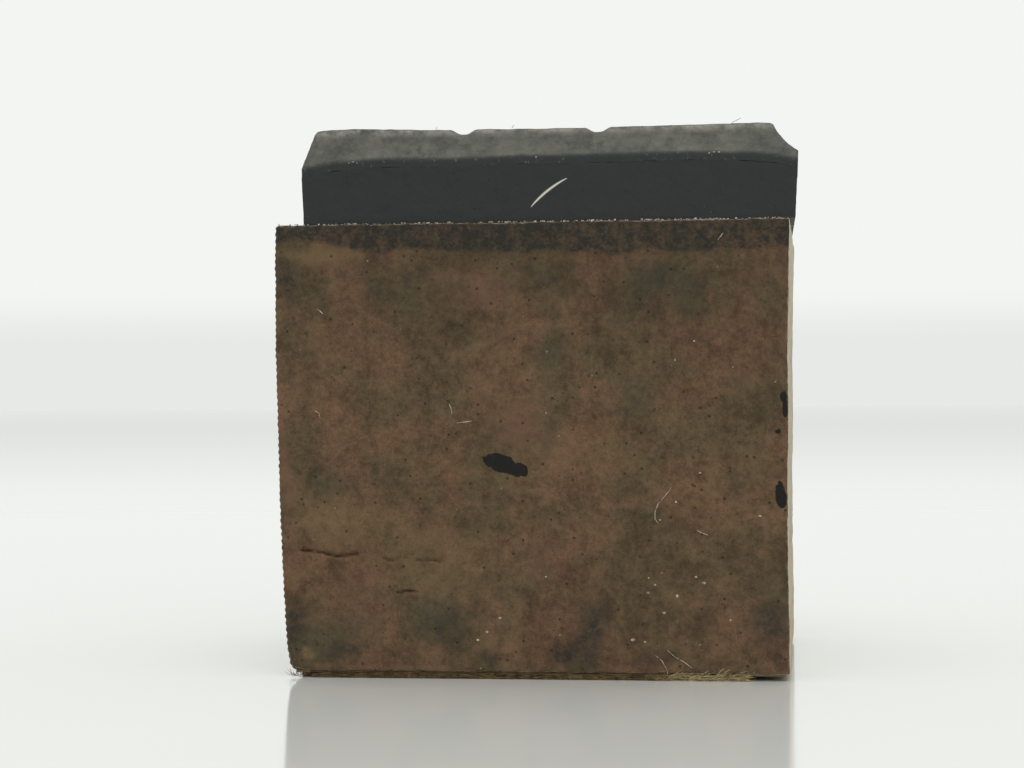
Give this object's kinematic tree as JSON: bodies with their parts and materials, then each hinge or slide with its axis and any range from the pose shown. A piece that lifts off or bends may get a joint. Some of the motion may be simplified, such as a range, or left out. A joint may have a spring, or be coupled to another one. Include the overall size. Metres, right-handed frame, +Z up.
{
  "type": "letterpress printing block",
  "caption": "Small ornament plate with bevelled shoulders nailed to an end-grain hardwood block, packed up to type height by an underlay.",
  "frame": {"origin": "on the press bed, under the middle of the whole block", "axes": "+Z up from the bed to the printing face, -Y towards the end-grain front, +X to the right along the front"},
  "size_m": [0.022, 0.019, 0.0233],
  "materials": {
    "wood": "bare hardwood, end grain at front and back, stained with old ink",
    "backing": "sawn lead alloy, blue-black with ink",
    "shell": "dull nickel-faced shell, greyed with worn ink",
    "paper": "thin browned paper",
    "board": "fibrous strawboard, frayed at its edges",
    "brad": "dull steel wire"
  },
  "bodies": {
    "root": {"wood_base": "wood", "backing_metal": "backing", "printing_shell": "shell", "underlay_paper": "paper", "underlay_board": "board", "brad_front_left": "brad", "brad_front_right": "brad", "brad_rear_left": "brad", "brad_rear_right": "brad"}
  },
  "joints": []
}
